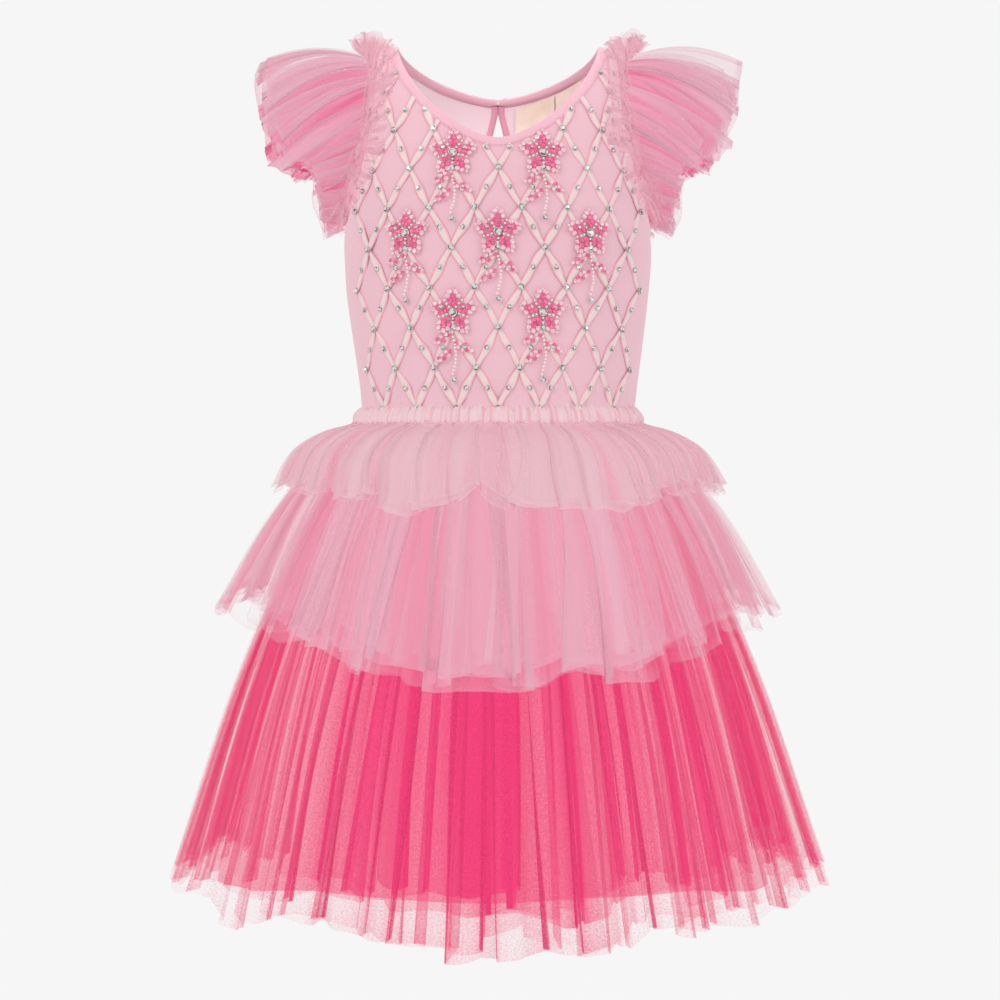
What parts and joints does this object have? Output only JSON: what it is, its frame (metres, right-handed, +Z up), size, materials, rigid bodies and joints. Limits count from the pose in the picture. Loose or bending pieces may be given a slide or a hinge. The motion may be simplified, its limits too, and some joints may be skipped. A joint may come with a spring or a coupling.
{
  "type": "toddler party dress",
  "caption": "Sleeveless-cut toddler party dress with net flutter sleeves, a ribbon trellis bodice and tiers of gathered net over a lining skirt.",
  "frame": {"origin": "where the wearer's shoulders hold the dress: the middle of the neck opening, level with the shoulder tops", "axes": "+Z up, -Y towards the front of the dress, +X towards the right of the dress seen from the front"},
  "size_m": [0.4465, 0.3485, 0.5869],
  "materials": {
    "jersey": "matte pale pink cotton jersey",
    "ribbon": "soft sheen cream-pink twisted ribbon",
    "binding": "matte pink jersey binding",
    "label": "cream satin",
    "button": "glossy pink",
    "pale_net": "sheer pale pink nylon net",
    "rose_net": "sheer rose pink nylon net",
    "bright_net": "sheer bright pink nylon net",
    "lining": "soft peach-pink lining"
  },
  "bodies": {
    "root": {"bodice_front": "jersey", "bodice_back": "jersey", "ribbon_trellis": "ribbon", "neck_binding": "binding", "keyhole_edging": "binding", "back_button": "button", "button_loop": "binding", "neck_label": "label", "neck_label_tab": "label", "sleeve_left_outer": "pale_net", "sleeve_left_inner": "bright_net", "sleeve_right_outer": "pale_net", "sleeve_right_inner": "bright_net", "shoulder_trim_left": "pale_net", "shoulder_trim_right": "pale_net", "waist_heading": "pale_net", "peplum_front": "pale_net", "peplum_back": "pale_net", "middle_tier_front": "rose_net", "middle_tier_back": "rose_net", "lower_tier_front": "bright_net", "lower_tier_back": "bright_net", "lining_front": "lining", "lining_back": "lining"}
  },
  "joints": []
}
